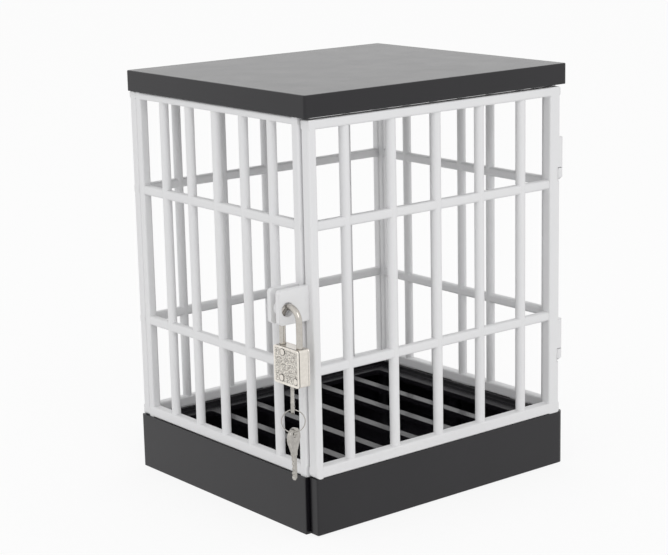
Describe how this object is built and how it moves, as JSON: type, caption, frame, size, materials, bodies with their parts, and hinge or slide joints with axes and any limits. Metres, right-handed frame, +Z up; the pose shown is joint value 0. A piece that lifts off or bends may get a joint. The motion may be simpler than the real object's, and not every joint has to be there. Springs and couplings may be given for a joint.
{
  "type": "barred lock box",
  "caption": "Small table-top cage box with barred walls, a hinged barred door, a hasp and a hanging keyed padlock.",
  "frame": {"origin": "middle of the footprint of the cage body, on the flat underside of the base tray", "axes": "+Z up. +X along the door towards its hinges. +Y into the cage, so the door is on the -Y side"},
  "size_m": [0.1605, 0.1364, 0.185],
  "materials": {
    "white_plastic": "satin",
    "charcoal_plastic": "satin",
    "nickel": "worn plate",
    "steel": "drawn",
    "brass": "turned"
  },
  "bodies": {
    "cage": {"lid": "charcoal_plastic", "base_tray": "charcoal_plastic", "floor_grate": "charcoal_plastic", "left_wall": "white_plastic", "right_wall": "white_plastic", "back_wall": "white_plastic", "lower_hinge_pin": "steel", "upper_hinge_pin": "steel", "wall_hasp_tab": "white_plastic"},
    "door": {"door_grille": "white_plastic", "door_kick_panel": "charcoal_plastic", "door_hasp_tab": "white_plastic"},
    "shackle": {"shackle": "nickel"},
    "padlock_case": {"case_core": "nickel", "case_outer_cover": "nickel", "case_inner_cover": "nickel", "case_rivets": "nickel", "heel_pin": "steel", "shackle_spring": "steel", "catch_spring": "steel"},
    "catch": {"catch_bolt": "brass"},
    "plug": {"lock_plug": "brass", "key_in_lock": "nickel"},
    "ring": {"key_ring": "nickel"},
    "spare_key": {"spare_key": "nickel"}
  },
  "joints": [
    {"name": "door_swing", "type": "hinge", "parent": "cage", "child": "door", "pos_m": [0.0703, -0.0619, 0.1], "axis": [0, 0, 1], "range_deg": [0, 160]},
    {"name": "padlock_swing", "type": "hinge", "parent": "door", "child": "shackle", "pos_m": [-0.0827, -0.06095, 0.0993], "axis": [0, 1, 0], "range_deg": [-2, 60]},
    {"name": "case_drop", "type": "slide", "parent": "shackle", "child": "padlock_case", "axis": [0, 0, -1], "range_m": [0, 0.0062], "deforming": ["shackle_spring"]},
    {"name": "key_turn", "type": "hinge", "parent": "padlock_case", "child": "plug", "pos_m": [-0.0827, -0.06375, 0.07], "axis": [0, 0, 1], "range_deg": [0, 40]},
    {"name": "catch_slide", "type": "slide", "parent": "padlock_case", "child": "catch", "axis": [0, 1, 0], "range_m": [0, 0.00083], "deforming": ["catch_spring"]},
    {"name": "ring_swing", "type": "hinge", "parent": "plug", "child": "ring", "pos_m": [-0.0827, -0.06375, 0.05767], "axis": [0.766, -0.6428, 0], "range_deg": [-30, 5]},
    {"name": "spare_key_swing", "type": "hinge", "parent": "ring", "child": "spare_key", "pos_m": [-0.0827, -0.06375, 0.04797], "axis": [0.766, -0.6428, 0], "range_deg": [-30, 5]}
  ],
  "couplings": [
    {"joint": "catch_slide", "follows": "key_turn", "m_per_rad": 0.0011757}
  ]
}
